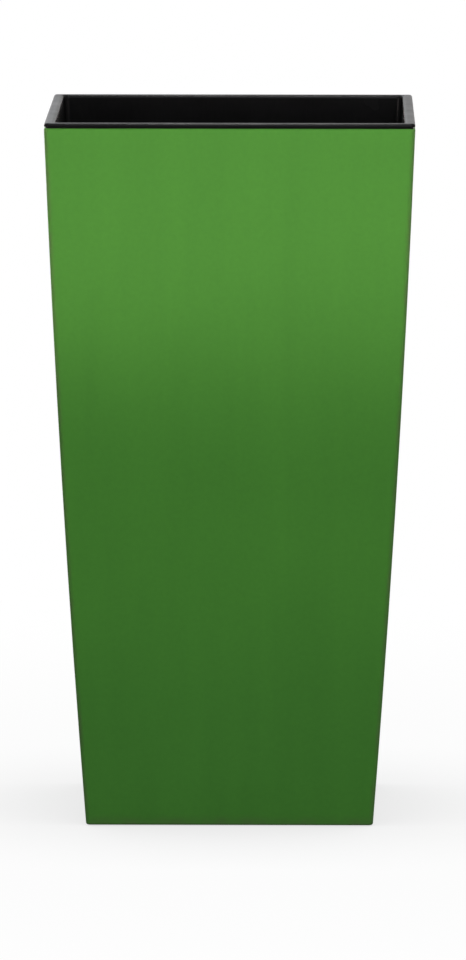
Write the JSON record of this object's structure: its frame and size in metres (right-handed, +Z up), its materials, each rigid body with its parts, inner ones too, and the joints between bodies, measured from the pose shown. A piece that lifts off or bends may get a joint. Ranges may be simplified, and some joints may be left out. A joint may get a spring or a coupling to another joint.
{
  "type": "square planter",
  "caption": "Tall tapered square floor planter with a lift-out liner that hangs by its lip, swing-up liner handles, a drain plug and floor pads.",
  "frame": {"origin": "on the floor under the middle of the pot", "axes": "+Z up along the pot's axis, +X towards the right-hand side wall, -Y towards the front face in the picture"},
  "size_m": [0.325, 0.325, 0.6266],
  "materials": {
    "green_plastic": "satin moulded plastic with a very fine grain",
    "black_plastic": "satin black moulded plastic",
    "plug_rubber": "soft dark grey rubber",
    "pad_rubber": "soft grey rubber"
  },
  "bodies": {
    "pot": {"outer_pot": "green_plastic", "floor_pad_front_left": "pad_rubber", "floor_pad_front_right": "pad_rubber", "floor_pad_rear_left": "pad_rubber", "floor_pad_rear_right": "pad_rubber"},
    "liner": {"liner": "black_plastic"},
    "handle_left": {"handle_left": "black_plastic"},
    "handle_right": {"handle_right": "black_plastic"},
    "drain_plug": {"drain_plug": "plug_rubber"}
  },
  "joints": [
    {"name": "liner_lift", "type": "slide", "parent": "pot", "child": "liner", "axis": [0, 0, 1], "range_m": [0, 0.34]},
    {"name": "handle_left_swing", "type": "hinge", "parent": "liner", "child": "handle_left", "pos_m": [-0.14582, 0, 0.5966], "axis": [0, -1, 0], "range_deg": [0, 186]},
    {"name": "handle_right_swing", "type": "hinge", "parent": "liner", "child": "handle_right", "pos_m": [0.14582, 0, 0.5966], "axis": [0, 1, 0], "range_deg": [0, 186]},
    {"name": "plug_pull", "type": "slide", "parent": "pot", "child": "drain_plug", "axis": [0, 0, 1], "range_m": [0, 0.05]}
  ]
}
